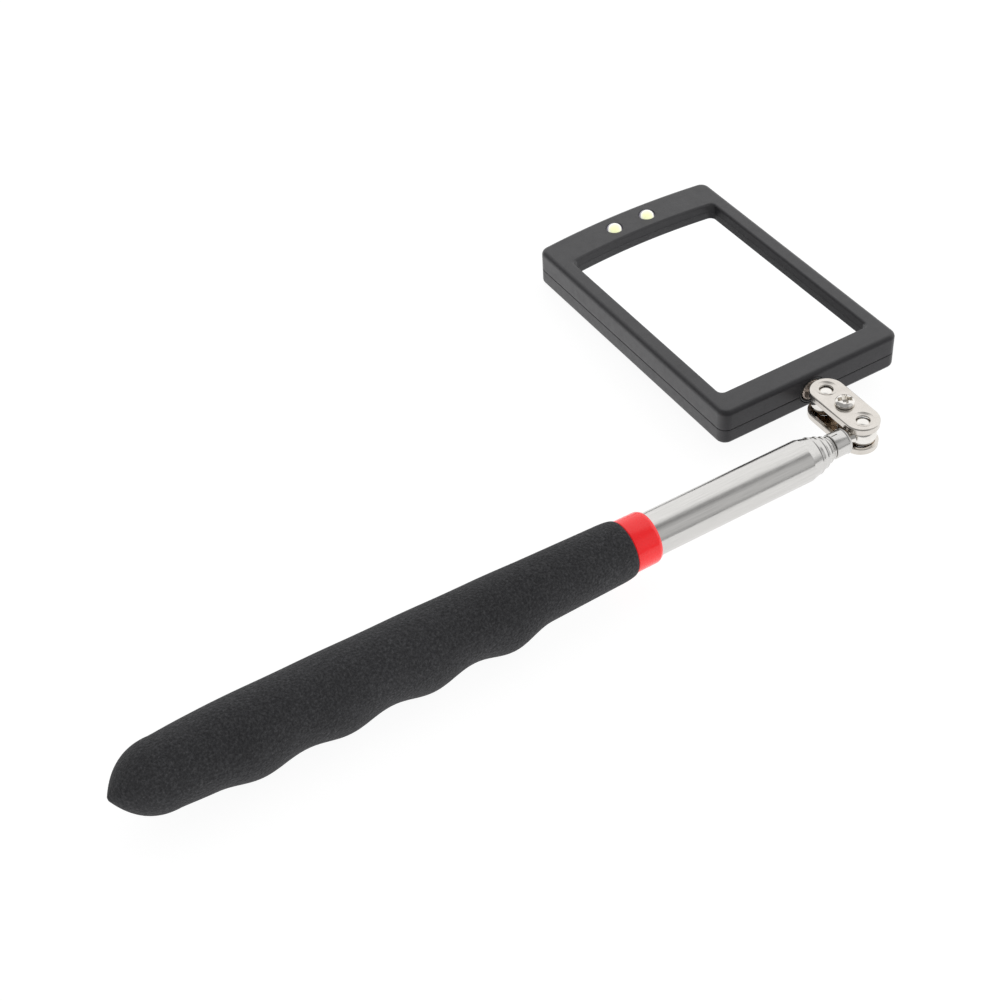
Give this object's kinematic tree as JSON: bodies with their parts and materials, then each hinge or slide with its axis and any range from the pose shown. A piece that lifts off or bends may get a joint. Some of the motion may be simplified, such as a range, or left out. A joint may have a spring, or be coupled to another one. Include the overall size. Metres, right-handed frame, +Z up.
{
  "type": "telescoping inspection mirror",
  "caption": "Rectangular lit inspection mirror on a clamped double ball joint, carried by a telescoping steel tube with a finger-grooved foam grip.",
  "frame": {"origin": "on the table, under the middle of the tool as it lies", "axes": "+X along the handle from the butt towards the ball joint, +Y from the joint towards the lights, +Z up"},
  "size_m": [0.2494, 0.1254, 0.0221],
  "materials": {
    "foam": "matt black EVA foam with a fine closed-cell grain",
    "red_plastic": "glossy moulded red",
    "black_plastic": "matt black moulded plastic",
    "tube_steel": "drawn stainless tube, fine lengthwise brushing",
    "bronze": "spring bronze",
    "bright_metal": "polished nickel plate",
    "screw_steel": "zinc plated self-tapping screw",
    "casing": "satin charcoal moulded ABS with a fine spark-eroded grain",
    "mirror": "silvered flat glass",
    "backing_card": "plain card and foam tape behind the glass",
    "led_lens": "clear epoxy over a pale yellow phosphor",
    "circuit_board": "green solder resist",
    "coin_cell": "bright nickel can",
    "switch_case": "folded tin can"
  },
  "bodies": {
    "handle": {"foam_grip": "foam", "collar_ring": "red_plastic", "outer_tube": "tube_steel", "tube_end_plug": "black_plastic"},
    "section_2": {"tube_section_2": "tube_steel", "friction_bush_2": "bronze"},
    "section_3": {"tube_section_3": "tube_steel", "friction_bush_3": "bronze"},
    "section_4": {"tube_section_4": "tube_steel", "friction_bush_4": "bronze"},
    "tip_bush": {"friction_bush_5": "bronze"},
    "tip": {"tip_tube": "tube_steel", "tip_ferrule": "bright_metal", "tube_ball_stem": "bright_metal"},
    "tube_ball": {"tube_ball": "bright_metal"},
    "clamp": {"clamp_plate_top": "bright_metal", "clamp_plate_bottom": "bright_metal", "clamp_screw": "bright_metal", "clamp_nut": "bright_metal"},
    "head_ball": {"head_ball": "bright_metal"},
    "head_neck": {"head_ball_stem": "bright_metal", "stem_collar": "bright_metal", "stem_end_nut": "bright_metal"},
    "head": {"front_bezel": "casing", "rear_cover": "casing", "mirror_glass": "mirror", "mirror_backing": "backing_card", "led_left": "led_lens", "led_right": "led_lens", "led_board": "circuit_board", "coin_cell_left": "coin_cell", "coin_cell_right": "coin_cell", "battery_contact": "bronze", "switch_body": "switch_case", "stem_boss": "black_plastic", "casing_screw_1": "screw_steel", "casing_screw_2": "screw_steel", "casing_screw_3": "screw_steel", "casing_screw_4": "screw_steel"},
    "switch_knob": {"switch_knob": "black_plastic"},
    "battery_door": {"battery_door": "casing"}
  },
  "joints": [
    {"name": "section_2_slide", "type": "slide", "parent": "handle", "child": "section_2", "axis": [1, 0, 0], "range_m": [0, 0.145]},
    {"name": "section_3_slide", "type": "slide", "parent": "section_2", "child": "section_3", "axis": [1, 0, 0], "range_m": [0, 0.145]},
    {"name": "section_4_slide", "type": "slide", "parent": "section_3", "child": "section_4", "axis": [1, 0, 0], "range_m": [0, 0.145]},
    {"name": "tip_slide", "type": "slide", "parent": "section_4", "child": "tip_bush", "axis": [1, 0, 0], "range_m": [0, 0.145]},
    {"name": "tip_spin", "type": "hinge", "parent": "tip_bush", "child": "tip", "pos_m": [0.0944, -0.0523, 0.01235], "axis": [1, 0, 0], "continuous": true},
    {"name": "tube_ball_tilt", "type": "hinge", "parent": "tip", "child": "tube_ball", "pos_m": [0.0944, -0.0523, 0.01235], "axis": [0, 0.9983, -0.059], "range_deg": [-7, 7]},
    {"name": "tube_ball_swing", "type": "hinge", "parent": "tube_ball", "child": "clamp", "pos_m": [0.0944, -0.0523, 0.01235], "axis": [0, -0.059, -0.9983], "range_deg": [-8, 188]},
    {"name": "head_ball_swing", "type": "hinge", "parent": "clamp", "child": "head_ball", "pos_m": [0.0944, -0.03682, 0.01143], "axis": [0, 0.059, 0.9983], "range_deg": [-90, 30]},
    {"name": "head_ball_tilt", "type": "hinge", "parent": "head_ball", "child": "head_neck", "pos_m": [0.0944, -0.03682, 0.01143], "axis": [1, 0, 0], "range_deg": [-5, 5]},
    {"name": "head_roll", "type": "hinge", "parent": "head_neck", "child": "head", "pos_m": [0.0944, -0.03682, 0.01143], "axis": [0, 0.9983, -0.059], "continuous": true},
    {"name": "switch_travel", "type": "slide", "parent": "head", "child": "switch_knob", "axis": [1, 0, 0], "range_m": [0, 0.003]},
    {"name": "battery_door_slide", "type": "slide", "parent": "head", "child": "battery_door", "axis": [0, 0.9983, -0.059], "range_m": [0, 0.025]}
  ]
}
